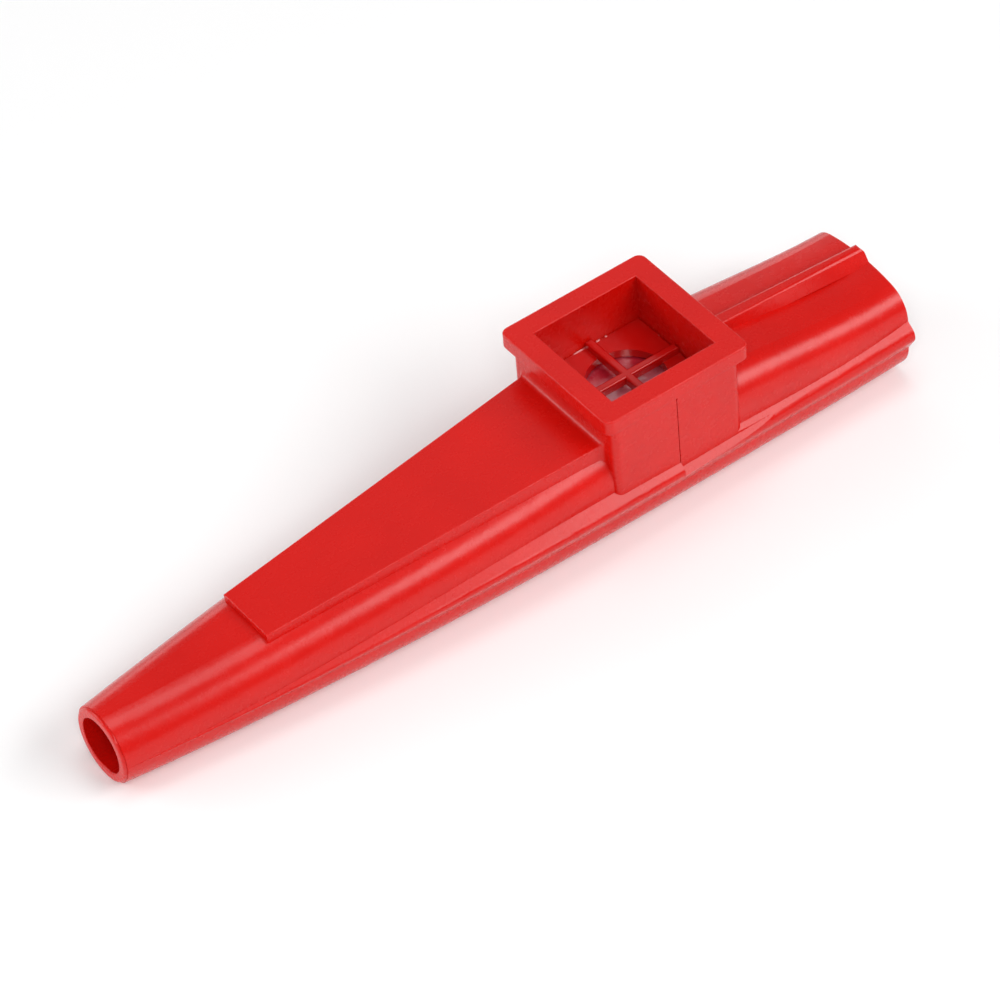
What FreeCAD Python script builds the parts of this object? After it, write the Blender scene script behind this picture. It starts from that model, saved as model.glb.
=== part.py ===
import FreeCAD, Part
import os
import math
import Sketcher

# Toy kazoo, millimetres.
# Frame: X runs from the round outlet end (-X) to the wide mouthpiece end (+X),
# Y is across, Z is up, and the origin is the middle of the flat underside.

os.makedirs("parts", exist_ok=True)
doc = FreeCAD.newDocument("kazoo")
V = FreeCAD.Vector

# ---------------------------------------------------------------- driving sizes

sheet = doc.addObject("Spreadsheet::Sheet", "Sizes")
row_count = 0


def size(alias, value):
    """Put one driving size in the sheet and return its value."""
    global row_count
    row_count += 1
    cell = "B%d" % row_count
    sheet.set("A%d" % row_count, alias)
    sheet.set(cell, str(value))
    sheet.setAlias(cell, alias)
    return value


overall = size("overall", 120.2)
wall = size("wall", 1.4)
floor_skim = size("floor_skim", 0.04)
seam_z = size("seam_z", 5.2)

# turret
turret_x = size("turret_x", 22.1)
turret_long = size("turret_long", 20.2)
turret_wide = size("turret_wide", 21.2)
turret_foot = size("turret_foot", 6.4)
turret_corner = size("turret_corner", 1.1)
lip_side = size("lip_side", 22.6)
lip_thick = size("lip_thick", 2.3)
lip_corner = size("lip_corner", 1.15)
lip_top = size("lip_top", 23.5)
well_side = size("well_side", 16.24)
ledge_top = size("ledge_top", 15.0)
ledge_thick = size("ledge_thick", 1.6)
sound_hole_rad = size("sound_hole_rad", 5.0)
film_seat_rad = size("film_seat_rad", 7.3)
film_seat_deep = size("film_seat_deep", 0.3)

# raised panel ahead of the turret
panel_front_x = size("panel_front_x", -37.5)
panel_front_z = size("panel_front_z", 13.24)
panel_front_half = size("panel_front_half", 4.68)
panel_rear_half = size("panel_rear_half", 8.42)
panel_length = size("panel_length", 50.5)
panel_tilt = size("panel_tilt", 4.7)
panel_deep = size("panel_deep", 3.2)
panel_round = size("panel_round", 0.15)

# side bead
bead_rise = size("bead_rise", 4.6)
bead_under_deg = size("bead_under_deg", 58.5)
bead_upper_deg = size("bead_upper_deg", 38.3)
bead_tip_rad = size("bead_tip_rad", 0.9)
bead_tip_rear = size("bead_tip_rear", 1.5)
bead_root = size("bead_root", 1.0)

# relief of the bead beside the rear half of the turret
relief_from = size("relief_from", 22.1)
relief_long = size("relief_long", 18.0)
relief_z = size("relief_z", 8.45)
relief_end_z = size("relief_end_z", 8.74)

# rib behind the turret
rib_from = size("rib_from", 31.5)
rib_to = size("rib_to", 60.1)
rib_half_front = size("rib_half_front", 1.0)
rib_half_rear = size("rib_half_rear", 1.9)
rib_lean_front = size("rib_lean_front", 88)
rib_lean_rear = size("rib_lean_rear", 56)
rib_top_front = size("rib_top_front", 17.88)
rib_top_rear = size("rib_top_rear", 16.42)
rib_deep = size("rib_deep", 2.0)
rib_round_front = size("rib_round_front", 0.15)
rib_round_rear = size("rib_round_rear", 0.75)
rib_end_round = size("rib_end_round", 0.7)

# retainer
plate_side = size("plate_side", 16.0)
plate_low = size("plate_low", 15.1)
plate_thick = size("plate_thick", 1.2)
plate_hole_rad = size("plate_hole_rad", 5.4)
cross_width = size("cross_width", 1.15)
cross_top = size("cross_top", 17.35)
cross_low = size("cross_low", 16.1)

# film
film_rad = size("film_rad", 7.0)
film_thick = size("film_thick", 0.2)
film_play = size("film_play", 0.05)
film_low = size("film_low", ledge_top - film_seat_deep + film_play)

# rounded edges
neck_round = size("neck_round", 0.5)
foot_round = size("foot_round", 0.9)
lip_round = size("lip_round", 0.25)
mouth_round = size("mouth_round", 0.2)
rim_round = size("rim_round", 0.4)
bore_round = size("bore_round", 0.3)
cross_round = size("cross_round", 0.3)

# parting line down each side wall of the turret
notch_half = size("notch_half", 0.34)
notch_tall = size("notch_tall", 1.0)
parting_half = size("parting_half", 0.06)
parting_deep = size("parting_deep", 0.25)
parting_low = size("parting_low", 8.6)

# how far tools for cutting and filling run past what they work on
cut_spare = size("cut_spare", 0.5)
skim_deep = size("skim_deep", 1.0)
ledge_root = size("ledge_root", 1.2)
ledge_spare = size("ledge_spare", 1.4)
relief_reach = size("relief_reach", 2.0)
relief_tall = size("relief_tall", 3.0)
rim_reach = size("rim_reach", 2.0)
edge_inside = size("edge_inside", 2.0)
least_bead = size("least_bead", 0.02)

# nearness used when picking edges, and the height above which the turret's foot is looked for
pick_close = 0.02
pick_room = 0.2
pick_wide = 0.4
foot_low = 17.0

# body sections: station, half width, height of shoulder centre, shoulder radius, crown, bead scale
STATIONS = [
    ("s0", -60.1, 5.30, 5.35, 5.15, 10.507, 0.0),
    ("s1", -38.0, 7.70, 6.95, 5.20, 12.22, 0.31),
    ("s2", -18.0, 9.05, 8.50, 5.20, 13.78, 0.68),
    ("s3", 0.0, 9.80, 9.90, 5.20, 15.20, 0.97),
    ("s4", 22.0, 10.00, 11.80, 4.90, 16.90, 1.0),
    ("s5", 37.0, 9.95, 11.50, 4.40, 16.15, 0.87),
    ("s6", 60.1, 9.55, 9.95, 4.20, 14.78, 1.0),
]
for tag, place, half, centre_z, rad, crown, bead in STATIONS:
    size(tag + "_place", place)
    size(tag + "_half", half)
    size(tag + "_centre", centre_z)
    size(tag + "_rad", rad)
    size(tag + "_crown", crown)
    size(tag + "_bead", bead)

doc.recompute()


# ---------------------------------------------------------------- helpers

def origin_plane(body, role):
    """The named origin plane of a body."""
    for feature in body.Origin.OriginFeatures:
        if feature.Role == role:
            return feature
    raise ValueError(role)


def new_body(label):
    """New empty body with a plain name."""
    body = doc.addObject("PartDesign::Body", label)
    body.Label = label
    return body


def new_sketch(body, name, role, offset, turn=None):
    """Sketch on one of the body's origin planes, moved by offset in plane coordinates."""
    sketch = body.newObject("Sketcher::SketchObject", name)
    sketch.AttachmentSupport = (origin_plane(body, role), [""])
    sketch.MapMode = "FlatFace"
    spin = turn if turn is not None else FreeCAD.Rotation()
    sketch.AttachmentOffset = FreeCAD.Placement(offset, spin)
    return sketch


def line(x0, y0, x1, y1):
    return Part.LineSegment(V(x0, y0, 0), V(x1, y1, 0))


def arc(cx, cy, rad, start_deg, end_deg):
    circle = Part.Circle(V(cx, cy, 0), V(0, 0, 1), rad)
    return Part.ArcOfCircle(circle, math.radians(start_deg), math.radians(end_deg))


def rule(sketch, *args):
    return sketch.addConstraint(Sketcher.Constraint(*args))


def dim(sketch, name, expression, *args):
    """Add a dimension, name it and tie it to the sheet."""
    number = rule(sketch, *args)
    sketch.renameConstraint(number, name)
    sketch.setExpression("Constraints." + name, expression)


def rounded_rectangle(sketch, half_x, half_y, rad, names):
    """Rectangle with rounded corners centred on the sketch origin, sizes tied to the sheet."""
    ax = half_x - rad
    ay = half_y - rad
    sketch.addGeometry(line(-ax, -half_y, ax, -half_y))
    sketch.addGeometry(arc(ax, -ay, rad, 270, 360))
    sketch.addGeometry(line(half_x, -ay, half_x, ay))
    sketch.addGeometry(arc(ax, ay, rad, 0, 90))
    sketch.addGeometry(line(ax, half_y, -ax, half_y))
    sketch.addGeometry(arc(-ax, ay, rad, 90, 180))
    sketch.addGeometry(line(-half_x, ay, -half_x, -ay))
    sketch.addGeometry(arc(-ax, -ay, rad, 180, 270))
    for first, end, second, start in [(0, 2, 1, 1), (1, 2, 2, 1), (2, 2, 3, 1), (3, 2, 4, 1),
                                      (4, 2, 5, 1), (5, 2, 6, 1), (6, 2, 7, 1), (7, 2, 0, 1)]:
        rule(sketch, "Tangent", first, end, second, start)
    rule(sketch, "Horizontal", 0)
    rule(sketch, "Vertical", 2)
    rule(sketch, "Equal", 1, 3)
    rule(sketch, "Equal", 1, 5)
    rule(sketch, "Symmetric", 0, 1, 4, 1, -1, 1)
    long_name, wide_name, rad_name = names
    dim(sketch, "across_x", long_name + " / 2", "DistanceX", -1, 1, 2, 1, half_x)
    dim(sketch, "across_y", wide_name + " / 2", "DistanceY", -1, 1, 4, 1, half_y)
    dim(sketch, "corner", rad_name, "Radius", 1, rad)


def plain_rectangle(sketch, x0, x1, y0, y1, names):
    """Four-sided outline whose sides are tied to expressions (left, right, low, high)."""
    sketch.addGeometry(line(x0, y0, x1, y0))
    sketch.addGeometry(line(x1, y0, x1, y1))
    sketch.addGeometry(line(x1, y1, x0, y1))
    sketch.addGeometry(line(x0, y1, x0, y0))
    for first in range(4):
        rule(sketch, "Coincident", first, 2, (first + 1) % 4, 1)
    rule(sketch, "Horizontal", 0)
    rule(sketch, "Horizontal", 2)
    rule(sketch, "Vertical", 1)
    rule(sketch, "Vertical", 3)
    left, right, low, high = names
    dim(sketch, "left", left, "DistanceX", -1, 1, 0, 1, x0)
    dim(sketch, "right", right, "DistanceX", -1, 1, 1, 1, x1)
    dim(sketch, "low", low, "DistanceY", -1, 1, 0, 1, y0)
    dim(sketch, "high", high, "DistanceY", -1, 1, 2, 1, y1)


def hull_section(body, name, station, inset):
    """Closed body section: flat floor, round lower corners, straight sides, round shoulders
    and a slightly crowned top.  inset is 0 outside and the wall thickness inside."""
    tag, place, half, centre_z, rad, crown, bead = station
    sketch = new_sketch(body, name, "YZ_Plane", V(0, 0, place))
    sketch.setExpression("AttachmentOffset.Base.z", "Sizes.%s_place" % tag)
    side = half - inset
    low = inset if inset else -floor_skim
    low_rad = seam_z - low
    top_rad = rad - inset
    reach = half - rad
    lift = crown - rad - centre_z
    big = top_rad + (reach * reach + lift * lift) / (2.0 * lift)
    big_z = crown - inset - big
    lean = math.degrees(math.atan2(centre_z - big_z, reach))
    sketch.addGeometry(arc(0, big_z, big, lean, 180 - lean))
    sketch.addGeometry(arc(reach, centre_z, top_rad, 0, lean))
    sketch.addGeometry(line(side, centre_z, side, seam_z))
    sketch.addGeometry(arc(side - low_rad, seam_z, low_rad, 270, 360))
    sketch.addGeometry(line(side - low_rad, low, low_rad - side, low))
    sketch.addGeometry(arc(low_rad - side, seam_z, low_rad, 180, 270))
    sketch.addGeometry(line(-side, seam_z, -side, centre_z))
    sketch.addGeometry(arc(-reach, centre_z, top_rad, 180 - lean, 180))
    for first, one, second, two in [(0, 1, 1, 2), (1, 1, 2, 1), (2, 2, 3, 2), (3, 1, 4, 1),
                                    (4, 2, 5, 2), (5, 1, 6, 1), (6, 2, 7, 2), (7, 1, 0, 2)]:
        rule(sketch, "Tangent", first, one, second, two)
    rule(sketch, "Vertical", 2)
    rule(sketch, "Vertical", 6)
    rule(sketch, "Horizontal", 4)
    rule(sketch, "Symmetric", 2, 2, 6, 1, -2)
    rule(sketch, "Horizontal", 2, 1, 6, 2)
    rule(sketch, "Equal", 1, 7)
    less = " - Sizes.wall" if inset else ""
    this = "Sizes.%s_" % tag
    dim(sketch, "half", this + "half" + less, "DistanceX", -1, 1, 2, 2, side)
    dim(sketch, "seam", "Sizes.seam_z", "DistanceY", -1, 1, 2, 2, seam_z)
    low_text = "Sizes.wall" if inset else "-Sizes.floor_skim"
    dim(sketch, "floor", low_text, "DistanceY", -1, 1, 4, 1, low)
    dim(sketch, "centre", this + "centre", "DistanceY", -1, 1, 2, 1, centre_z)
    dim(sketch, "shoulder", this + "rad" + less, "Radius", 1, top_rad)
    reach_text = "(%shalf - %srad)" % (this, this)
    lift_text = "(%scrown - %srad - %scentre)" % (this, this, this)
    big_text = "%srad%s + (%s^2 + %s^2) / (2 * %s)" % (this, less, reach_text, lift_text, lift_text)
    dim(sketch, "top", big_text, "Radius", 0, big)
    return sketch


def bead_section(body, name, station, scale):
    """Section of the side bead: under slope, rounded tip and top slope, rooted inside the wall."""
    tag, place, half, centre_z, rad, crown, bead = station
    sketch = new_sketch(body, name, "YZ_Plane", V(0, 0, place))
    sketch.setExpression("AttachmentOffset.Base.z", "Sizes.%s_place" % tag)
    under = math.radians(bead_under_deg)
    upper = math.radians(bead_upper_deg)
    root = half - bead_root
    low = seam_z - bead_root * math.tan(under)
    high = seam_z + bead_rise * scale + bead_root * math.tan(upper)
    reach = (high - low) / (math.tan(under) + math.tan(upper))
    tip = (root + reach, low + reach * math.tan(under))
    tip_rad, tip_name = bead_tip_rad, "Sizes.bead_tip_rad"
    if place > turret_x:
        tip_rad, tip_name = bead_tip_rear, "Sizes.bead_tip_rear"
    rad = tip_rad * scale
    tangent = rad / math.tan((under + upper) / 2)
    foot = (tip[0] - tangent * math.cos(under), tip[1] - tangent * math.sin(under))
    head = (tip[0] - tangent * math.cos(upper), tip[1] + tangent * math.sin(upper))
    centre = (foot[0] - rad * math.sin(under), foot[1] + rad * math.cos(under))
    sketch.addGeometry(line(root, low, foot[0], foot[1]))
    sketch.addGeometry(arc(centre[0], centre[1], rad, bead_under_deg - 90, 90 - bead_upper_deg))
    sketch.addGeometry(line(root, high, head[0], head[1]))
    sketch.addGeometry(line(root, high, root, low))
    rule(sketch, "Tangent", 0, 2, 1, 1)
    rule(sketch, "Tangent", 1, 2, 2, 2)
    rule(sketch, "Coincident", 2, 1, 3, 1)
    rule(sketch, "Coincident", 3, 2, 0, 1)
    rule(sketch, "Vertical", 3)
    grow = "Sizes.%s_bead" % tag if bead >= least_bead else "Sizes.least_bead"
    under_text = "Sizes.bead_root * tan(Sizes.bead_under_deg * 1deg)"
    upper_text = "Sizes.bead_root * tan(Sizes.bead_upper_deg * 1deg)"
    dim(sketch, "root", "Sizes.%s_half - Sizes.bead_root" % tag, "DistanceX", -1, 1, 3, 1, root)
    dim(sketch, "low", "Sizes.seam_z - " + under_text, "DistanceY", -1, 1, 0, 1, low)
    dim(sketch, "high", "Sizes.seam_z + Sizes.bead_rise * %s + %s" % (grow, upper_text),
        "DistanceY", -1, 1, 2, 1, high)
    dim(sketch, "tip", tip_name + " * " + grow, "Radius", 1, rad)
    dim(sketch, "under", "Sizes.bead_under_deg * 1deg", "Angle", 0, under)
    dim(sketch, "upper", "-Sizes.bead_upper_deg * 1deg", "Angle", 2, -upper)
    return sketch


def pad(body, sketch, name, length, expression, reverse=False):
    feature = body.newObject("PartDesign::Pad", name)
    feature.Profile = sketch
    feature.Length = length
    feature.setExpression("Length", expression)
    feature.Reversed = reverse
    return feature


def pocket(body, sketch, name, length, expression, reverse=False):
    feature = body.newObject("PartDesign::Pocket", name)
    feature.Profile = sketch
    feature.Length = length
    feature.setExpression("Length", expression)
    feature.Reversed = reverse
    return feature


def check_change(feature, before, sign, label):
    """The feature must add (+1) or remove (-1) material."""
    doc.recompute()
    change = feature.Shape.Volume - before
    if change * sign <= 0.01:
        raise ValueError("%s changed the volume by %.3f" % (label, change))
    return feature.Shape.Volume


def fillet(owner, name, base, rad, rad_text, wanted):
    """Round the edges of base whose every sample point satisfies wanted(point)."""
    names = []
    for number, edge in enumerate(base.Shape.Edges):
        first, last = edge.ParameterRange
        points = [edge.valueAt(first + (last - first) * part) for part in (0.02, 0.5, 0.98)]
        if all(wanted(point) for point in points):
            names.append("Edge%d" % (number + 1))
    feature = owner.newObject("PartDesign::Fillet", name)
    feature.Base = (base, names)
    feature.Radius = rad
    feature.setExpression("Radius", rad_text)
    doc.recompute()
    return feature


def near_to(value, target, slack=pick_close):
    """Whether two lengths agree within the slack used to pick edges."""
    return abs(value - target) < slack


# ---------------------------------------------------------------- body

body = new_body("body")

outer = []
for station in STATIONS:
    outer.append(hull_section(body, "outer_" + station[0], station, 0.0))
hull = body.newObject("PartDesign::AdditiveLoft", "hull")
hull.Profile = outer[0]
hull.Sections = outer[1:]
hull.Ruled = False
doc.recompute()
volume = hull.Shape.Volume

# the underside is skimmed to one true plane at the height of the frame's origin
skim_sketch = new_sketch(body, "skim_outline", "XY_Plane", V(0, 0, 0))
plain_rectangle(skim_sketch, -overall, overall, -turret_wide, turret_wide,
                ("-Sizes.overall", "Sizes.overall", "-Sizes.turret_wide", "Sizes.turret_wide"))
skim = pocket(body, skim_sketch, "skim", skim_deep, "Sizes.skim_deep")
volume = check_change(skim, volume, -1, "skim")

# raised panel, sketched on its own sloping top face
panel_sketch = new_sketch(body, "panel_outline", "XY_Plane", V(panel_front_x, 0, panel_front_z),
                          FreeCAD.Rotation(V(0, 1, 0), -panel_tilt))
panel_sketch.setExpression("AttachmentOffset.Base.x", "Sizes.panel_front_x")
panel_sketch.setExpression("AttachmentOffset.Base.z", "Sizes.panel_front_z")
panel_sketch.addGeometry(line(0, -panel_front_half, panel_length, -panel_rear_half))
panel_sketch.addGeometry(line(panel_length, -panel_rear_half, panel_length, panel_rear_half))
panel_sketch.addGeometry(line(panel_length, panel_rear_half, 0, panel_front_half))
panel_sketch.addGeometry(line(0, panel_front_half, 0, -panel_front_half))
for first in range(4):
    rule(panel_sketch, "Coincident", first, 2, (first + 1) % 4, 1)
rule(panel_sketch, "Symmetric", 0, 1, 2, 2, -1)
rule(panel_sketch, "Symmetric", 0, 2, 2, 1, -1)
rule(panel_sketch, "PointOnObject", 0, 1, -2)
dim(panel_sketch, "front", "Sizes.panel_front_half", "DistanceY", -1, 1, 2, 2, panel_front_half)
dim(panel_sketch, "rear", "Sizes.panel_rear_half", "DistanceY", -1, 1, 2, 1, panel_rear_half)
dim(panel_sketch, "long", "Sizes.panel_length", "DistanceX", -1, 1, 0, 2, panel_length)
panel = pad(body, panel_sketch, "panel", panel_deep, "Sizes.panel_deep", reverse=True)
volume = check_change(panel, volume, 1, "panel")


def at_panel_top(point):
    """The front and side edges of the raised panel's sloping top."""
    level = panel_front_z + (point.x - panel_front_x) * math.tan(math.radians(panel_tilt))
    return near_to(point.z, level) and point.x < panel_front_x + panel_length - pick_wide


panel_edges = fillet(body, "panel_edges", panel, panel_round, "Sizes.panel_round", at_panel_top)
volume = panel_edges.Shape.Volume

# side beads: one loft on the -Y side is mirrored across the middle plane
bead_sketches = []
for station in STATIONS:
    scale = max(station[6], least_bead)
    bead_sketches.append(bead_section(body, "bead_" + station[0], station, scale))
doc.recompute()
bead = body.newObject("PartDesign::AdditiveLoft", "bead")
bead.Profile = bead_sketches[0]
bead.Sections = bead_sketches[1:]
bead.Ruled = False
volume = check_change(bead, volume, 1, "bead")
beads = body.newObject("PartDesign::Mirrored", "beads")
beads.Originals = [bead]
beads.MirrorPlane = (origin_plane(body, "XZ_Plane"), [""])
body.Tip = beads
volume = check_change(beads, volume, 1, "beads")

# turret wall block and its lip
turret_sketch = new_sketch(body, "turret_outline", "XY_Plane", V(turret_x, 0, turret_foot))
turret_sketch.setExpression("AttachmentOffset.Base.x", "Sizes.turret_x")
turret_sketch.setExpression("AttachmentOffset.Base.z", "Sizes.turret_foot")
rounded_rectangle(turret_sketch, turret_long / 2, turret_wide / 2, turret_corner,
                  ("Sizes.turret_long", "Sizes.turret_wide", "Sizes.turret_corner"))
turret = pad(body, turret_sketch, "turret", lip_top - lip_thick / 2 - turret_foot,
             "Sizes.lip_top - Sizes.lip_thick / 2 - Sizes.turret_foot")
volume = check_change(turret, volume, 1, "turret")
lip_sketch = new_sketch(body, "lip_outline", "XY_Plane", V(turret_x, 0, lip_top))
lip_sketch.setExpression("AttachmentOffset.Base.x", "Sizes.turret_x")
lip_sketch.setExpression("AttachmentOffset.Base.z", "Sizes.lip_top")
rounded_rectangle(lip_sketch, lip_side / 2, lip_side / 2, lip_corner,
                  ("Sizes.lip_side", "Sizes.lip_side", "Sizes.lip_corner"))
lip = pad(body, lip_sketch, "lip", lip_thick, "Sizes.lip_thick", reverse=True)
volume = check_change(lip, volume, 1, "lip")

# rib along the crown behind the turret: corner rounding grows toward the mouthpiece
def rib_section(name, place, place_text, half, top, lean_deg, rad, tag):
    """Flat-topped ridge with sides leaning in at lean_deg from level and rounded top corners."""
    sketch = new_sketch(body, name, "YZ_Plane", V(0, 0, place))
    sketch.setExpression("AttachmentOffset.Base.z", place_text)
    low = top - rib_deep
    lean = math.radians(lean_deg)
    crest = half - rib_deep / math.tan(lean)
    cut = rad * math.tan(lean / 2)
    side_y = crest + cut * math.cos(lean)
    side_z = top - cut * math.sin(lean)
    centre = (crest - cut, top - rad)
    turn = 90 - lean_deg
    sketch.addGeometry(line(-half, low, half, low))
    sketch.addGeometry(line(half, low, side_y, side_z))
    sketch.addGeometry(arc(centre[0], centre[1], rad, turn, 90))
    sketch.addGeometry(line(centre[0], top, -centre[0], top))
    sketch.addGeometry(arc(-centre[0], centre[1], rad, 90, 180 - turn))
    sketch.addGeometry(line(-side_y, side_z, -half, low))
    rule(sketch, "Coincident", 0, 2, 1, 1)
    rule(sketch, "Tangent", 1, 2, 2, 1)
    rule(sketch, "Tangent", 2, 2, 3, 1)
    rule(sketch, "Tangent", 3, 2, 4, 1)
    rule(sketch, "Tangent", 4, 2, 5, 1)
    rule(sketch, "Coincident", 5, 2, 0, 1)
    rule(sketch, "Equal", 2, 4)
    rule(sketch, "Symmetric", 3, 1, 3, 2, -2)
    rule(sketch, "Symmetric", 0, 1, 0, 2, -2)
    dim(sketch, "half", "Sizes.rib_half_" + tag, "DistanceX", -1, 1, 0, 2, half)
    dim(sketch, "top", "Sizes.rib_top_" + tag, "DistanceY", -1, 1, 3, 1, top)
    dim(sketch, "low", "Sizes.rib_top_%s - Sizes.rib_deep" % tag, "DistanceY", -1, 1, 0, 2, low)
    dim(sketch, "lean", "(180 - Sizes.rib_lean_%s) * 1deg" % tag, "Angle", 1, math.pi - lean)
    dim(sketch, "round", "Sizes.rib_round_" + tag, "Radius", 2, rad)
    return sketch


rib_front = rib_section("rib_front", rib_from, "Sizes.rib_from", rib_half_front, rib_top_front,
                        rib_lean_front, rib_round_front, "front")
rib_rear = rib_section("rib_rear", rib_to, "Sizes.rib_to", rib_half_rear, rib_top_rear,
                       rib_lean_rear, rib_round_rear, "rear")
doc.recompute()
rib = body.newObject("PartDesign::AdditiveLoft", "rib")
rib.Profile = rib_front
rib.Sections = [rib_rear]
rib.Ruled = True
volume = check_change(rib, volume, 1, "rib")

# the rib's upper corner is rounded off where it reaches the mouthpiece end
nose_sketch = new_sketch(body, "nose_outline", "XZ_Plane", V(0, 0, 0))
turn_x = rib_to - rib_end_round
turn_z = rib_top_rear - rib_end_round
past_x = rib_to + cut_spare
past_z = rib_top_rear + cut_spare
nose_sketch.addGeometry(arc(turn_x, turn_z, rib_end_round, 0, 90))
nose_sketch.addGeometry(line(turn_x, rib_top_rear, turn_x, past_z))
nose_sketch.addGeometry(line(turn_x, past_z, past_x, past_z))
nose_sketch.addGeometry(line(past_x, past_z, past_x, turn_z))
nose_sketch.addGeometry(line(past_x, turn_z, rib_to, turn_z))
for first in range(5):
    rule(nose_sketch, "Coincident", first, 2, (first + 1) % 5, 1)
rule(nose_sketch, "Vertical", 1)
rule(nose_sketch, "Horizontal", 2)
rule(nose_sketch, "Vertical", 3)
rule(nose_sketch, "Horizontal", 4)
rule(nose_sketch, "Vertical", 0, 3, 0, 2)
rule(nose_sketch, "Horizontal", 0, 3, 0, 1)
dim(nose_sketch, "turn_x", "Sizes.rib_to - Sizes.rib_end_round", "DistanceX", -1, 1, 0, 3, turn_x)
dim(nose_sketch, "turn_z", "Sizes.rib_top_rear - Sizes.rib_end_round", "DistanceY",
    -1, 1, 0, 3, turn_z)
dim(nose_sketch, "round", "Sizes.rib_end_round", "Radius", 0, rib_end_round)
dim(nose_sketch, "beyond", "Sizes.rib_to + Sizes.cut_spare", "DistanceX", -1, 1, 3, 1, past_x)
dim(nose_sketch, "above", "Sizes.rib_top_rear + Sizes.cut_spare", "DistanceY",
    -1, 1, 2, 1, past_z)
nose = pocket(body, nose_sketch, "nose", 2 * turret_wide, "2 * Sizes.turret_wide")
nose.Midplane = True
volume = check_change(nose, volume, -1, "nose")

# bore: one wall thickness inside the outer sections, open at both ends
inner = []
for station in STATIONS:
    inner.append(hull_section(body, "inner_" + station[0], station, wall))
doc.recompute()
bore = body.newObject("PartDesign::SubtractiveLoft", "bore")
bore.Profile = inner[0]
bore.Sections = inner[1:]
bore.Ruled = False
volume = check_change(bore, volume, -1, "bore")

# ledge that carries the film, filled across the turret and then opened from above
ledge_sketch = new_sketch(body, "ledge_outline", "XY_Plane", V(turret_x, 0, ledge_top - ledge_thick))
ledge_sketch.setExpression("AttachmentOffset.Base.x", "Sizes.turret_x")
ledge_sketch.setExpression("AttachmentOffset.Base.z", "Sizes.ledge_top - Sizes.ledge_thick")
ledge_half = well_side / 2 + ledge_root
ledge_text = "Sizes.well_side / 2 + Sizes.ledge_root"
plain_rectangle(ledge_sketch, -ledge_half, ledge_half, -ledge_half, ledge_half,
                ("-(%s)" % ledge_text, ledge_text, "-(%s)" % ledge_text, ledge_text))
ledge = pad(body, ledge_sketch, "ledge", ledge_thick + ledge_spare,
            "Sizes.ledge_thick + Sizes.ledge_spare")
volume = check_change(ledge, volume, 1, "ledge")

well_sketch = new_sketch(body, "well_outline", "XY_Plane", V(turret_x, 0, lip_top))
well_sketch.setExpression("AttachmentOffset.Base.x", "Sizes.turret_x")
well_sketch.setExpression("AttachmentOffset.Base.z", "Sizes.lip_top")
half = well_side / 2
plain_rectangle(well_sketch, -half, half, -half, half,
                ("-Sizes.well_side / 2", "Sizes.well_side / 2",
                 "-Sizes.well_side / 2", "Sizes.well_side / 2"))
well = pocket(body, well_sketch, "well", lip_top - ledge_top, "Sizes.lip_top - Sizes.ledge_top")
volume = check_change(well, volume, -1, "well")


def round_sketch(owner, name, rad, height, rad_text, height_text):
    """Circle about the turret's axis at the given height."""
    sketch = new_sketch(owner, name, "XY_Plane", V(turret_x, 0, height))
    sketch.setExpression("AttachmentOffset.Base.x", "Sizes.turret_x")
    sketch.setExpression("AttachmentOffset.Base.z", height_text)
    sketch.addGeometry(Part.Circle(V(0, 0, 0), V(0, 0, 1), rad))
    rule(sketch, "Coincident", 0, 3, -1, 1)
    dim(sketch, "ring", rad_text, "Radius", 0, rad)
    return sketch


seat_sketch = round_sketch(body, "film_seat_outline", film_seat_rad, ledge_top,
                           "Sizes.film_seat_rad", "Sizes.ledge_top")
seat = pocket(body, seat_sketch, "film_seat", film_seat_deep, "Sizes.film_seat_deep")
volume = check_change(seat, volume, -1, "film seat")
hole_sketch = round_sketch(body, "sound_hole_outline", sound_hole_rad, ledge_top,
                           "Sizes.sound_hole_rad", "Sizes.ledge_top")
hole = pocket(body, hole_sketch, "sound_hole", ledge_thick + cut_spare,
              "Sizes.ledge_thick + Sizes.cut_spare")
volume = check_change(hole, volume, -1, "sound hole")

# relief: beside the rear half of the turret the bead is lower, and it recovers behind it

def relief_section(name, place, place_text, level, level_text):
    """Section that takes the bead down to level at the turret's wall, along the bead's slope."""
    sketch = new_sketch(body, name, "YZ_Plane", V(0, 0, place))
    sketch.setExpression("AttachmentOffset.Base.z", place_text)
    near = turret_wide / 2
    far = near + relief_reach
    low = level - relief_reach * math.tan(math.radians(bead_upper_deg))
    high = level + relief_tall
    sketch.addGeometry(line(near, level, far, low))
    sketch.addGeometry(line(far, low, far, high))
    sketch.addGeometry(line(far, high, near, high))
    sketch.addGeometry(line(near, high, near, level))
    for first in range(4):
        rule(sketch, "Coincident", first, 2, (first + 1) % 4, 1)
    rule(sketch, "Vertical", 1)
    rule(sketch, "Vertical", 3)
    rule(sketch, "Horizontal", 2)
    dim(sketch, "near", "Sizes.turret_wide / 2", "DistanceX", -1, 1, 0, 1, near)
    dim(sketch, "far", "Sizes.turret_wide / 2 + Sizes.relief_reach", "DistanceX", -1, 1, 0, 2, far)
    dim(sketch, "low", level_text, "DistanceY", -1, 1, 0, 1, level)
    dim(sketch, "fall", level_text + " - Sizes.relief_reach * tan(Sizes.bead_upper_deg * 1deg)",
        "DistanceY", -1, 1, 0, 2, low)
    dim(sketch, "high", level_text + " + Sizes.relief_tall", "DistanceY", -1, 1, 3, 1, high)
    return sketch


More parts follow.
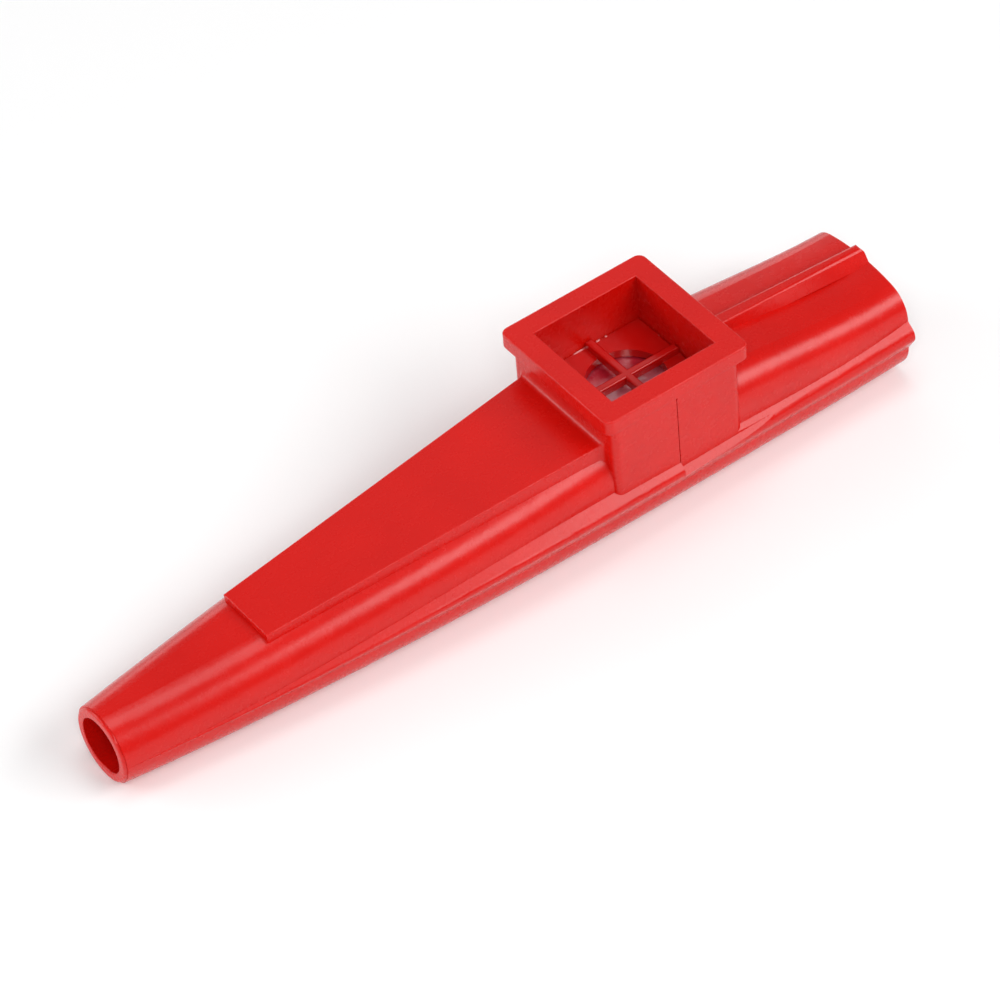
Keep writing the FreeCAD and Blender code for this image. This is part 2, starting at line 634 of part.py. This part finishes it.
relief_start = relief_section("relief_start", relief_from, "Sizes.relief_from", relief_z,
                              "Sizes.relief_z")
relief_end = relief_section("relief_end", relief_from + relief_long,
                            "Sizes.relief_from + Sizes.relief_long", relief_end_z,
                            "Sizes.relief_end_z")
doc.recompute()
relief = body.newObject("PartDesign::SubtractiveLoft", "relief")
relief.Profile = relief_start
relief.Sections = [relief_end]
relief.Ruled = True
volume = check_change(relief, volume, -1, "relief")
reliefs = body.newObject("PartDesign::Mirrored", "reliefs")
reliefs.Originals = [relief]
reliefs.MirrorPlane = (origin_plane(body, "XZ_Plane"), [""])
body.Tip = reliefs
volume = check_change(reliefs, volume, -1, "reliefs")

front_wall = turret_x - turret_long / 2
under_lip = lip_top - lip_thick


def at_neck(point):
    """Where the turret walls meet the underside of the lip."""
    inside_x = abs(point.x - turret_x) < turret_long / 2 + pick_close
    inside_y = abs(point.y) < turret_wide / 2 + pick_close
    clear = well_side / 2 + pick_room
    outside_well = abs(point.x - turret_x) > clear or abs(point.y) > clear
    return near_to(point.z, under_lip) and inside_x and inside_y and outside_well


def at_lip_rim(point):
    """Outer top and bottom edges of the lip."""
    edge_x = abs(point.x - turret_x) > lip_side / 2 - lip_corner - pick_close / 2
    edge_y = abs(point.y) > lip_side / 2 - lip_corner - pick_close / 2
    past_x = abs(point.x - turret_x) > turret_long / 2 + pick_wide
    past_y = abs(point.y) > turret_wide / 2 + pick_wide
    outside = past_x or past_y
    level = near_to(point.z, lip_top) or near_to(point.z, under_lip)
    return level and outside and (edge_x or edge_y)


def at_well_mouth(point):
    """True on the well's top edges, on the inside of the lip."""
    reach = well_side / 2 + pick_close
    return near_to(point.z, lip_top) and abs(point.x - turret_x) < reach and abs(point.y) < reach


def at_panel_foot(point):
    """Where the raised panel runs into the front wall of the turret."""
    across = abs(point.y) < panel_rear_half + pick_room
    return near_to(point.x, front_wall) and across and point.z > foot_low


def end_groove(name, inside, outside, depth, inside_text, outside_text, depth_text, outer):
    """Round a circular corner of the outlet end by turning a sketch about the bore axis."""
    sketch = new_sketch(body, name + "_outline", "XZ_Plane", V(0, seam_z, 0))
    sketch.setExpression("AttachmentOffset.Base.y", "Sizes.seam_z")
    face = -overall / 2
    beyond = face - cut_spare
    if outer:
        sketch.addGeometry(arc(face + depth, inside, depth, 90, 180))
        sketch.addGeometry(line(face, inside, beyond, inside))
        sketch.addGeometry(line(beyond, inside, beyond, outside))
        sketch.addGeometry(line(beyond, outside, face + depth, outside))
        sketch.addGeometry(line(face + depth, outside, face + depth, inside + depth))
    else:
        sketch.addGeometry(arc(face + depth, outside, depth, 180, 270))
        sketch.addGeometry(line(face + depth, outside - depth, face + depth, inside))
        sketch.addGeometry(line(face + depth, inside, beyond, inside))
        sketch.addGeometry(line(beyond, inside, beyond, outside))
        sketch.addGeometry(line(beyond, outside, face, outside))
    for first in range(5):
        rule(sketch, "Coincident", first, 2, (first + 1) % 5, 1)
    level = (1, 3) if outer else (2, 4)
    upright = (2, 4) if outer else (1, 3)
    for number in level:
        rule(sketch, "Horizontal", number)
    for number in upright:
        rule(sketch, "Vertical", number)
    flat = inside if outer else outside
    flat_text = inside_text if outer else outside_text
    other = outside if outer else inside
    other_text = outside_text if outer else inside_text
    dim(sketch, "centre_x", "-Sizes.overall / 2 + " + depth_text, "DistanceX",
        -1, 1, 0, 3, face + depth)
    dim(sketch, "centre_y", flat_text, "DistanceY", -1, 1, 0, 3, flat)
    dim(sketch, "bend", depth_text, "Radius", 0, depth)
    dim(sketch, "beyond", "-Sizes.overall / 2 - Sizes.cut_spare", "DistanceX",
        -1, 1, 3, 1 if outer else 2, beyond)
    dim(sketch, "other", other_text, "DistanceY", -1, 1, 3 if outer else 2, 1, other)
    rule(sketch, "Vertical", 0, 3, 0, 1 if outer else 2)
    rule(sketch, "Horizontal", 0, 3, 0, 2 if outer else 1)
    groove = body.newObject("PartDesign::Groove", name)
    groove.Profile = sketch
    groove.ReferenceAxis = (sketch, ["H_Axis"])
    groove.Angle = 360
    return groove


neck = fillet(body, "neck", reliefs, neck_round, "Sizes.neck_round", at_neck)
lip_edges = fillet(body, "lip_edges", neck, lip_round, "Sizes.lip_round", at_lip_rim)
mouth_edges = fillet(body, "mouth_edges", lip_edges, mouth_round, "Sizes.mouth_round", at_well_mouth)
foot = fillet(body, "foot", mouth_edges, foot_round, "Sizes.foot_round", at_panel_foot)
volume = foot.Shape.Volume

# parting line down each side wall of the turret, from a small notch under the lip to the bead
parting_sketch = new_sketch(body, "parting_outline", "XZ_Plane", V(turret_x, 0, turret_wide / 2))
parting_sketch.setExpression("AttachmentOffset.Base.x", "Sizes.turret_x")
parting_sketch.setExpression("AttachmentOffset.Base.z", "Sizes.turret_wide / 2")
notch_end = under_lip - notch_tall
corners = [(-notch_half, under_lip), (notch_half, under_lip), (parting_half, notch_end),
           (parting_half, parting_low), (-parting_half, parting_low), (-parting_half, notch_end)]
for number, (x, z) in enumerate(corners):
    after = corners[(number + 1) % 6]
    parting_sketch.addGeometry(line(x, z, after[0], after[1]))
for first in range(6):
    rule(parting_sketch, "Coincident", first, 2, (first + 1) % 6, 1)
rule(parting_sketch, "Symmetric", 0, 1, 0, 2, -2)
rule(parting_sketch, "Vertical", 2)
rule(parting_sketch, "Vertical", 4)
rule(parting_sketch, "Symmetric", 3, 1, 3, 2, -2)
rule(parting_sketch, "Horizontal", 2, 1, 4, 2)
dim(parting_sketch, "notch", "Sizes.notch_half", "DistanceX", -1, 1, 0, 2, notch_half)
dim(parting_sketch, "high", "Sizes.lip_top - Sizes.lip_thick", "DistanceY", -1, 1, 0, 2, under_lip)
dim(parting_sketch, "split", "Sizes.parting_half", "DistanceX", -1, 1, 2, 2, parting_half)
dim(parting_sketch, "low", "Sizes.parting_low", "DistanceY", -1, 1, 2, 2, parting_low)
dim(parting_sketch, "bend", "Sizes.lip_top - Sizes.lip_thick - Sizes.notch_tall",
    "DistanceY", -1, 1, 2, 1, notch_end)
parting = pocket(body, parting_sketch, "parting", parting_deep, "Sizes.parting_deep")
volume = check_change(parting, volume, -1, "parting")
partings = body.newObject("PartDesign::Mirrored", "partings")
partings.Originals = [parting]
partings.MirrorPlane = (origin_plane(body, "XZ_Plane"), [""])
body.Tip = partings
volume = check_change(partings, volume, -1, "partings")
rim = end_groove("rim", seam_z - rim_round, seam_z + rim_reach, rim_round,
                 "Sizes.seam_z - Sizes.rim_round", "Sizes.seam_z + Sizes.rim_reach",
                 "Sizes.rim_round", True)
volume = check_change(rim, volume, -1, "rim")
bore_edge = end_groove("bore_edge", edge_inside, seam_z - wall + bore_round, bore_round,
                       "Sizes.edge_inside", "Sizes.seam_z - Sizes.wall + Sizes.bore_round",
                       "Sizes.bore_round", False)
volume = check_change(bore_edge, volume, -1, "bore edge")
body.Tip = bore_edge
doc.recompute()

# ---------------------------------------------------------------- retainer

retainer = new_body("retainer")
plate_sketch = new_sketch(retainer, "plate_outline", "XY_Plane", V(turret_x, 0, plate_low))
plate_sketch.setExpression("AttachmentOffset.Base.x", "Sizes.turret_x")
plate_sketch.setExpression("AttachmentOffset.Base.z", "Sizes.plate_low")
half = plate_side / 2
plain_rectangle(plate_sketch, -half, half, -half, half,
                ("-Sizes.plate_side / 2", "Sizes.plate_side / 2",
                 "-Sizes.plate_side / 2", "Sizes.plate_side / 2"))
plate = pad(retainer, plate_sketch, "plate", plate_thick, "Sizes.plate_thick")
doc.recompute()
volume = plate.Shape.Volume
opening_sketch = round_sketch(retainer, "opening_outline", plate_hole_rad, plate_low + plate_thick,
                              "Sizes.plate_hole_rad", "Sizes.plate_low + Sizes.plate_thick")
opening = pocket(retainer, opening_sketch, "opening", plate_thick + cut_spare,
                 "Sizes.plate_thick + Sizes.cut_spare")
volume = check_change(opening, volume, -1, "opening")
for name, half_x, half_y, text_x, text_y in [
        ("arm_along", plate_side / 2, cross_width / 2, "Sizes.plate_side / 2", "Sizes.cross_width / 2"),
        ("arm_across", cross_width / 2, plate_side / 2, "Sizes.cross_width / 2", "Sizes.plate_side / 2")]:
    arm_sketch = new_sketch(retainer, name + "_outline", "XY_Plane", V(turret_x, 0, cross_low))
    arm_sketch.setExpression("AttachmentOffset.Base.x", "Sizes.turret_x")
    arm_sketch.setExpression("AttachmentOffset.Base.z", "Sizes.cross_low")
    plain_rectangle(arm_sketch, -half_x, half_x, -half_y, half_y,
                    ("-" + text_x, text_x, "-" + text_y, text_y))
    arm = pad(retainer, arm_sketch, name, cross_top - cross_low, "Sizes.cross_top - Sizes.cross_low")
    volume = check_change(arm, volume, 1, name)
cross_edges = fillet(retainer, "cross_edges", arm, cross_round, "Sizes.cross_round",
                     lambda point: near_to(point.z, cross_top))
retainer.Tip = cross_edges

# ---------------------------------------------------------------- film

membrane = new_body("membrane")
film_sketch = round_sketch(membrane, "film_outline", film_rad, film_low, "Sizes.film_rad",
                           "Sizes.film_low")
pad(membrane, film_sketch, "film", film_thick, "Sizes.film_thick")
doc.recompute()

# ---------------------------------------------------------------- checks and export

for thing in doc.Objects:
    if "Invalid" in thing.State or "Error" in thing.State:
        raise ValueError("%s is %s" % (thing.Label, thing.State))
pieces = [body, retainer, membrane]
for piece in pieces:
    shape = piece.Shape
    if shape.isNull() or not shape.isValid() or len(shape.Solids) != 1:
        raise ValueError("%s is not one valid solid" % piece.Label)
    shape.exportStep("parts/%s.step" % piece.Label)
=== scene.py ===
import math

import bmesh
import bpy
from mathutils import Matrix, Vector
from mathutils.bvhtree import BVHTree


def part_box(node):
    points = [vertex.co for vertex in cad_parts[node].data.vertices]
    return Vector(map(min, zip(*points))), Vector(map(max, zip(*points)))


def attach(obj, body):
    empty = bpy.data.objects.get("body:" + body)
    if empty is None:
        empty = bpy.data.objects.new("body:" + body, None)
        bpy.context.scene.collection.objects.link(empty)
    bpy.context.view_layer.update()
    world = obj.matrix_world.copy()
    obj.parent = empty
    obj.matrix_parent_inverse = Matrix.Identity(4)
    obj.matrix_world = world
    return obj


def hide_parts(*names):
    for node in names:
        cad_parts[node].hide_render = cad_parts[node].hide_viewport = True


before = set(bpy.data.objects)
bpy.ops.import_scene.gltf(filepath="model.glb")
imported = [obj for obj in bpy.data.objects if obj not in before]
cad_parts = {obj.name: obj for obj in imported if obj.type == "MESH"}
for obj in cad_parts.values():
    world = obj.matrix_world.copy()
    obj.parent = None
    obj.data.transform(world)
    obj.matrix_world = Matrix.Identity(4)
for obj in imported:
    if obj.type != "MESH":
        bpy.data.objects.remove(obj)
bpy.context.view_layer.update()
scene = bpy.context.scene

MM = 0.001


def mm(x, y, z):
    """Point given in millimetres, in the scene's metres."""
    return Vector((x, y, z)) * MM


# --- camera: long lens, high up, off the outlet's near side ----------------------------

CAMERA_PLACE = mm(-290.88, -453.00, 540.81)
CAMERA_TURN = math.radians(-32.824)
CAMERA_RISE = math.radians(44.661)
CAMERA_ROLL = math.radians(-5.427)
CAMERA_LENS = 216
CAMERA_SENSOR = 36
CAMERA_NEAREST = 50


def make_camera():
    """Camera whose back, right and up axes are worked out from its turn, rise and roll."""
    back = Vector((math.sin(CAMERA_TURN) * math.cos(CAMERA_RISE),
                   -math.cos(CAMERA_TURN) * math.cos(CAMERA_RISE),
                   math.sin(CAMERA_RISE)))
    level = Vector((math.cos(CAMERA_TURN), math.sin(CAMERA_TURN), 0))
    lift = back.cross(level)
    right = level * math.cos(CAMERA_ROLL) + lift * math.sin(CAMERA_ROLL)
    up = lift * math.cos(CAMERA_ROLL) - level * math.sin(CAMERA_ROLL)
    data = bpy.data.cameras.new("camera")
    data.lens = CAMERA_LENS
    data.sensor_width = CAMERA_SENSOR
    data.clip_start = CAMERA_NEAREST * MM
    camera = bpy.data.objects.new("camera", data)
    turn = Matrix((right, up, back)).transposed()
    camera.matrix_world = Matrix.Translation(CAMERA_PLACE) @ turn.to_4x4()
    scene.collection.objects.link(camera)
    scene.camera = camera


# --- light -----------------------------------------------------------------------------

# each light's name, direction from the object, distance, width, height and power
LIGHTS = [("key", (0.45, -0.62, 0.64), 620, 540, 240, 2.35),
          ("overhead", (0.05, 0.02, 1.0), 700, 340, 340, 1.1),
          ("eye", (-0.386, -0.598, 0.703), 900, 260, 260, 2.4),
          ("sky", (0.40, 0.60, 0.70), 700, 330, 260, 0.1),
          ("rear", (0.40, 0.90, 0.24), 600, 520, 200, 0.6),
          ("fill", (-0.72, 0.58, 0.40), 600, 420, 220, 1.1),
          ("front", (-1.0, -0.14, 0.13), 600, 500, 220, 0.9)]
WORLD_BRIGHTNESS = 0.20


def softbox(name, direction, distance, width, height, watts):
    """Rectangular light that faces the middle of the object, sizes in millimetres."""
    place = Vector(direction).normalized() * distance * MM
    data = bpy.data.lights.new(name, "AREA")
    data.shape = "RECTANGLE"
    data.size = width * MM
    data.size_y = height * MM
    data.energy = watts
    light = bpy.data.objects.new(name, data)
    light.location = place
    light.rotation_euler = (-place).to_track_quat("-Z", "Y").to_euler()
    scene.collection.objects.link(light)


def make_world(brightness):
    """Even white surroundings."""
    world = bpy.data.worlds.new("studio")
    world.use_nodes = True
    shade = world.node_tree.nodes["Background"]
    shade.inputs["Color"].default_value = (1, 1, 1, 1)
    shade.inputs["Strength"].default_value = brightness
    scene.world = world


# --- materials -------------------------------------------------------------------------

# noise values between which a material changes from one look to the other
BAND = (0.3, 0.7)
NARROW_BAND = (0.35, 0.65)

# moulded plastic: feature sizes and bump depths in millimetres
FLOW_SIZE = 9.0
POLISH_SIZE = 1.6
POLISH_SPREAD = 0.02
DIMPLE_SIZE = 4.0
DIMPLE_DEPTH = 0.05
DIMPLE_STRENGTH = 0.05
GRAIN_DEPTH = 0.012
GRAIN_STRENGTH = 0.14
PLASTIC_IOR = 1.48

# for each red plastic: two colours, roughness, grain size and gloss
BODY_PLASTIC = ((0.61, 0.0044, 0.0018), (0.57, 0.0036, 0.0015), 0.27, 0.16, 0.40)
RETAINER_PLASTIC = ((0.50, 0.0030, 0.0020), (0.46, 0.0026, 0.0017), 0.17, 0.12, 0.60)

# film: painted light and shade; its colour goes from a painted-shade colour at the back to a
# paler painted-light colour at the near side, along a direction and over a stretch given in
# metres
FILM_LIGHT_SLOPE = (-0.35, -1.0, 0.0)
FILM_LIGHT_SPREAD = (-0.0107, -0.0037)
# the film's colour in painted shade, then in painted light and reflection
FILM_SHADED = (0.46, 0.012, 0.030)
FILM_LIT = (0.98, 0.50, 0.62)
FILM_CLOUD_SIZE = 2.2
FILM_CLOUD = 0.16
FILM_SMEAR_SIZE = 0.8
FILM_ROUGHNESS = (0.13, 0.22)
FILM_CREASE_SIZE = 1.5
FILM_CREASE_DEPTH = 0.05
FILM_CREASE_STRENGTH = 0.25
FILM_IOR = 2.3
FILM_ALPHA = 0.92

FLOOR_TONE_SIZE = 180.0
FLOOR_TONES = ((0.93, 0.93, 0.93), (0.95, 0.95, 0.95))
FLOOR_ROUGHNESS = 0.9


class Graph:
    """Short-hand for building a node tree around one Principled shader."""

    def __init__(self, name):
        self.material = bpy.data.materials.new(name)
        self.material.use_nodes = True
        self.tree = self.material.node_tree
        self.shader = self.tree.nodes["Principled BSDF"]
        self.place = self.node("ShaderNodeTexCoord").outputs["Object"]

    def node(self, kind, **settings):
        """New node, with each setting given to a property or an input of that name."""
        node = self.tree.nodes.new(kind)
        for key, value in settings.items():
            if hasattr(node, key):
                setattr(node, key, value)
            else:
                node.inputs[key].default_value = value
        return node

    def link(self, out, socket):
        self.tree.links.new(out, socket)

    def noise(self, size_mm, detail=2.0, roughness=0.5):
        """Noise whose features are about size_mm across, in object space."""
        node = self.node("ShaderNodeTexNoise", Scale=1.0 / (size_mm * MM), Detail=detail,
                         Roughness=roughness)
        self.link(self.place, node.inputs["Vector"])
        return node.outputs["Fac"]

    def span(self, value, low, high, new_low, new_high):
        """Value stretched from low..high to new_low..new_high."""
        node = self.node("ShaderNodeMapRange")
        node.inputs["From Min"].default_value = low
        node.inputs["From Max"].default_value = high
        node.inputs["To Min"].default_value = new_low
        node.inputs["To Max"].default_value = new_high
        self.link(value, node.inputs["Value"])
        return node.outputs["Result"]

    def blend(self, share, one, two):
        """Colour that goes from one to two as share goes from 0 to 1."""
        node = self.node("ShaderNodeMix", data_type="RGBA")
        node.inputs["A"].default_value = (*one, 1)
        node.inputs["B"].default_value = (*two, 1)
        self.link(share, node.inputs["Factor"])
        return [out for out in node.outputs if out.type == "RGBA"][0]

    def bump(self, height, depth_mm, strength, under=None):
        """Normal for a relief of the given depth, laid over the normal under."""
        node = self.node("ShaderNodeBump", Strength=strength, Distance=depth_mm * MM)
        self.link(height, node.inputs["Height"])
        if under is not None:
            self.link(under, node.inputs["Normal"])
        return node.outputs["Normal"]


def moulded_plastic(name, colour, deeper, roughness, grain_mm, gloss):
    """Satin moulded plastic: faint flow marks, a fine eroded grain and uneven polish."""
    graph = Graph(name)
    shader = graph.shader
    flow = graph.noise(FLOW_SIZE, detail=3.0)
    graph.link(graph.blend(graph.span(flow, *NARROW_BAND, 0, 1), colour, deeper),
               shader.inputs["Base Color"])
    polish = graph.noise(POLISH_SIZE, detail=4.0, roughness=0.6)
    duller = roughness + POLISH_SPREAD
    graph.link(graph.span(polish, *BAND, roughness - POLISH_SPREAD, duller),
               shader.inputs["Roughness"])
    dimples = graph.bump(graph.noise(DIMPLE_SIZE, detail=1.0), DIMPLE_DEPTH, DIMPLE_STRENGTH)
    fine = graph.noise(grain_mm, detail=2.0, roughness=0.6)
    graph.link(graph.bump(fine, GRAIN_DEPTH, GRAIN_STRENGTH, dimples), shader.inputs["Normal"])
    shader.inputs["IOR"].default_value = PLASTIC_IOR
    shader.inputs["Specular IOR Level"].default_value = gloss
    return graph.material


def thin_film(name):
    """Glossy see-through film that is slightly cloudy, its colour painted paler on the near side
    as painted light and reflection and darker at the back as painted shade.
    """
    graph = Graph(name)
    shader = graph.shader
    # painted light and shade: how far each point lies towards the film's near side, where the
    # light is painted
    light_slope = graph.node("ShaderNodeVectorMath", operation="DOT_PRODUCT")
    light_slope.inputs[1].default_value = FILM_LIGHT_SLOPE
    graph.link(graph.place, light_slope.inputs[0])
    share = graph.span(light_slope.outputs["Value"], *FILM_LIGHT_SPREAD, 0.0, 1.0)
    haze = graph.noise(FILM_CLOUD_SIZE, detail=4.0, roughness=0.6)
    cloud = graph.span(haze, *BAND, -FILM_CLOUD, FILM_CLOUD)
    mixed = graph.node("ShaderNodeMath", operation="ADD", use_clamp=True)
    graph.link(share, mixed.inputs[0])
    graph.link(cloud, mixed.inputs[1])
    # painted shade at the back blended into painted light at the near side, with random
    # cloudiness on top
    graph.link(graph.blend(mixed.outputs["Value"], FILM_SHADED, FILM_LIT),
               shader.inputs["Base Color"])
    graph.link(graph.span(graph.noise(FILM_SMEAR_SIZE, detail=3.0), *BAND, *FILM_ROUGHNESS),
               shader.inputs["Roughness"])
    crease = graph.noise(FILM_CREASE_SIZE, detail=3.0)
    graph.link(graph.bump(crease, FILM_CREASE_DEPTH, FILM_CREASE_STRENGTH),
               shader.inputs["Normal"])
    shader.inputs["IOR"].default_value = FILM_IOR
    shader.inputs["Alpha"].default_value = FILM_ALPHA
    return graph.material


def pale_floor(name):
    """Matt near-white floor with hardly any unevenness."""
    graph = Graph(name)
    tone = graph.noise(FLOOR_TONE_SIZE, detail=1.0)
    graph.link(graph.blend(tone, *FLOOR_TONES), graph.shader.inputs["Base Color"])
    graph.shader.inputs["Roughness"].default_value = FLOOR_ROUGHNESS
    return graph.material


# --- pieces ----------------------------------------------------------------------------

FLOOR_RADIUS = 1500
FLOOR_SIDES = 96

# film: half its thickness, its grid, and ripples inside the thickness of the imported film
FILM_HALF_THICK = 0.03
FILM_RINGS = 26
FILM_SPOKES = 96
RIPPLE_SHARE = 0.6
BROAD_RIPPLES = 3
BROAD_TWIST = 5.0
FINE_RIPPLES = 7
FINE_TWIST = -4.0
FINE_TURN = 1.0
FINE_HEIGHT = 0.5

# parting ridge along the tube; the tube's wall is looked for from SEAM_CAST_FROM out to the side
SEAM_HEIGHT = 5.2
SEAM_WIDTH = 0.16
SEAM_STAND = 0.035
SEAM_SINK = -0.01
SEAM_FROM = -57.0
SEAM_TO = 60.0
SEAM_STEPS = 240
SEAM_CAST_FROM = 30

# moulding flash: height above the plate's underside, width, and how its ends and edge are shaped
FLASH_LEVEL = 1.2
FLASH_WIDE = 0.15
FLASH_STEPS = 12
FLASH_END = 0.06
FLASH_BLUNT = 0.4
FLASH_BEND = 0.35

# each sliver's wall, how far along the wall it starts, and its length; the far wall is followed
# towards the rear and the rear wall from the far side to the near side
FLASHES = [("far", 0.4, 3.3), ("far", 5.6, 2.9), ("far", 9.1, 0.9), ("far", 10.5, 0.6),
           ("rear", 1.9, 0.5), ("rear", 3.2, 1.2), ("rear", 7.4, 1.7), ("rear", 12.6, 1.4)]


def add_object(name, mesh, material):
    """Object made from a mesh, in the scene and with its material."""
    thing = bpy.data.objects.new(name, mesh)
    scene.collection.objects.link(thing)
    mesh.materials.append(material)
    return thing


def make_floor(material):
    """Flat round floor under the object, reaching far beyond it."""
    mesh = bpy.data.meshes.new("floor")
    work = bmesh.new()
    bmesh.ops.create_circle(work, cap_ends=True, segments=FLOOR_SIDES,
                            radius=FLOOR_RADIUS * MM)
    work.to_mesh(mesh)
    work.free()
    add_object("floor", mesh, material)


def ripple(angle, part):
    """Height of the film's ripples at an angle, part of the way from its middle to its edge."""
    broad = math.sin(BROAD_RIPPLES * angle + BROAD_TWIST * part) * math.sin(math.pi * part)
    turn = FINE_RIPPLES * angle + FINE_TWIST * part + FINE_TURN
    return broad + FINE_HEIGHT * math.sin(turn) * part * (1 - part) * 2


def make_film(material):
    """Slightly slack film: a thin disc whose faint ripples run out from its middle."""
    low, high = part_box("membrane")
    middle = (low + high) / 2
    rad = (high.x - low.x) / 2
    spare = (high.z - low.z) / 2 - FILM_HALF_THICK * MM
    work = bmesh.new()
    sides = []
    for side in (1, -1):
        hub = None
        rows = []
        for ring in range(FILM_RINGS + 1):
            part = ring / FILM_RINGS
            row = []
            for spoke in range(FILM_SPOKES):
                angle = 2 * math.pi * spoke / FILM_SPOKES
                height = middle.z + RIPPLE_SHARE * spare * ripple(angle, part)
                height += side * FILM_HALF_THICK * MM
                if ring == 0:
                    hub = hub or work.verts.new((middle.x, middle.y, height))
                    continue
                row.append(work.verts.new((middle.x + rad * part * math.cos(angle),
                                           middle.y + rad * part * math.sin(angle), height)))
            if row:
                rows.append(row)
        for spoke in range(FILM_SPOKES):
            after = (spoke + 1) % FILM_SPOKES
            corner = [hub, rows[0][spoke], rows[0][after]]
            work.faces.new(corner if side > 0 else corner[::-1])
            for inner, outer in zip(rows, rows[1:]):
                quad = [inner[spoke], outer[spoke], outer[after], inner[after]]
                work.faces.new(quad if side > 0 else quad[::-1])
        sides.append(rows[-1])
    for spoke in range(FILM_SPOKES):
        after = (spoke + 1) % FILM_SPOKES
        work.faces.new([sides[1][spoke], sides[1][after], sides[0][after], sides[0][spoke]])
    mesh = bpy.data.meshes.new("film")
    work.to_mesh(mesh)
    work.free()
    mesh.shade_smooth()
    film = add_object("film", mesh, material)
    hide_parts("membrane")
    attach(film, "membrane")


def make_seam(name, side, material):
    """Hair-fine parting ridge along one side of the tube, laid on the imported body."""
    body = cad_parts["body"]
    tree = BVHTree.FromObject(body, bpy.context.evaluated_depsgraph_get())
    half = SEAM_WIDTH / 2 * MM
    work = bmesh.new()
    last = None
    for step in range(SEAM_STEPS + 1):
        x = SEAM_FROM + (SEAM_TO - SEAM_FROM) * step / SEAM_STEPS
        row = []
        for lift in (-1, 0, 1):
            start = Vector((x * MM, side * SEAM_CAST_FROM * MM, SEAM_HEIGHT * MM + lift * half))
            point = tree.ray_cast(start, Vector((0, -side, 0)))[0]
            stand = SEAM_STAND if lift == 0 else SEAM_SINK
            row.append(work.verts.new(point + Vector((0, side * stand * MM, 0))))
        if last:
            for one in (0, 1):
                quad = [last[one], row[one], row[one + 1], last[one + 1]]
                work.faces.new(quad if side < 0 else quad[::-1])
        last = row
    mesh = bpy.data.meshes.new(name)
    work.to_mesh(mesh)
    work.free()
    mesh.shade_smooth()
    ridge = add_object(name, mesh, material)
    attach(ridge, "shell")


def make_flash(material):
    """Broken lines of moulding flash where the retainer's plate meets two of the well's walls."""
    low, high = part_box("retainer")
    level = low.z + FLASH_LEVEL * MM
    work = bmesh.new()
    for side, start, length in FLASHES:
        if side == "far":
            first = Vector((low.x + start * MM, high.y, level))
            along = Vector((1, 0, 0))
        else:
            first = Vector((high.x, high.y - start * MM, level))
            along = Vector((0, -1, 0))
        inward = Vector((0, -1, 0)) if side == "far" else Vector((-1, 0, 0))
        rows = []
        for step in range(FLASH_STEPS + 1):
            part = step / FLASH_STEPS
            across = FLASH_END + (1 - 2 * FLASH_END) * part
            taper = math.sin(math.pi * across) ** FLASH_BLUNT
            wide = FLASH_WIDE * MM * taper
            spot = first + along * length * part * MM
            bend = inward * wide * FLASH_BEND + Vector((0, 0, wide * (1 - FLASH_BEND)))
            rows.append([work.verts.new(spot + inward * wide),
                         work.verts.new(spot + bend),
                         work.verts.new(spot + Vector((0, 0, wide)))])
        for back, fore in zip(rows, rows[1:]):
            for one in (0, 1):
                work.faces.new([back[one], fore[one], fore[one + 1], back[one + 1]])
    mesh = bpy.data.meshes.new("flash")
    work.to_mesh(mesh)
    work.free()
    mesh.shade_smooth()
    flash = add_object("flash", mesh, material)
    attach(flash, "retainer")


# --- the scene -------------------------------------------------------------------------

make_camera()
scene.view_settings.view_transform = "Standard"
make_world(WORLD_BRIGHTNESS)
for light in LIGHTS:
    softbox(*light)
make_floor(pale_floor("pale_floor"))

red = moulded_plastic("moulded_red", *BODY_PLASTIC)
retainer_red = moulded_plastic("retainer_red", *RETAINER_PLASTIC)
for node, material in (("body", red), ("retainer", retainer_red)):
    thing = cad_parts[node]
    thing.data.materials.clear()
    thing.data.materials.append(material)
make_film(thin_film("film"))
make_seam("seam_near", -1, red)
make_seam("seam_far", 1, red)
make_flash(retainer_red)
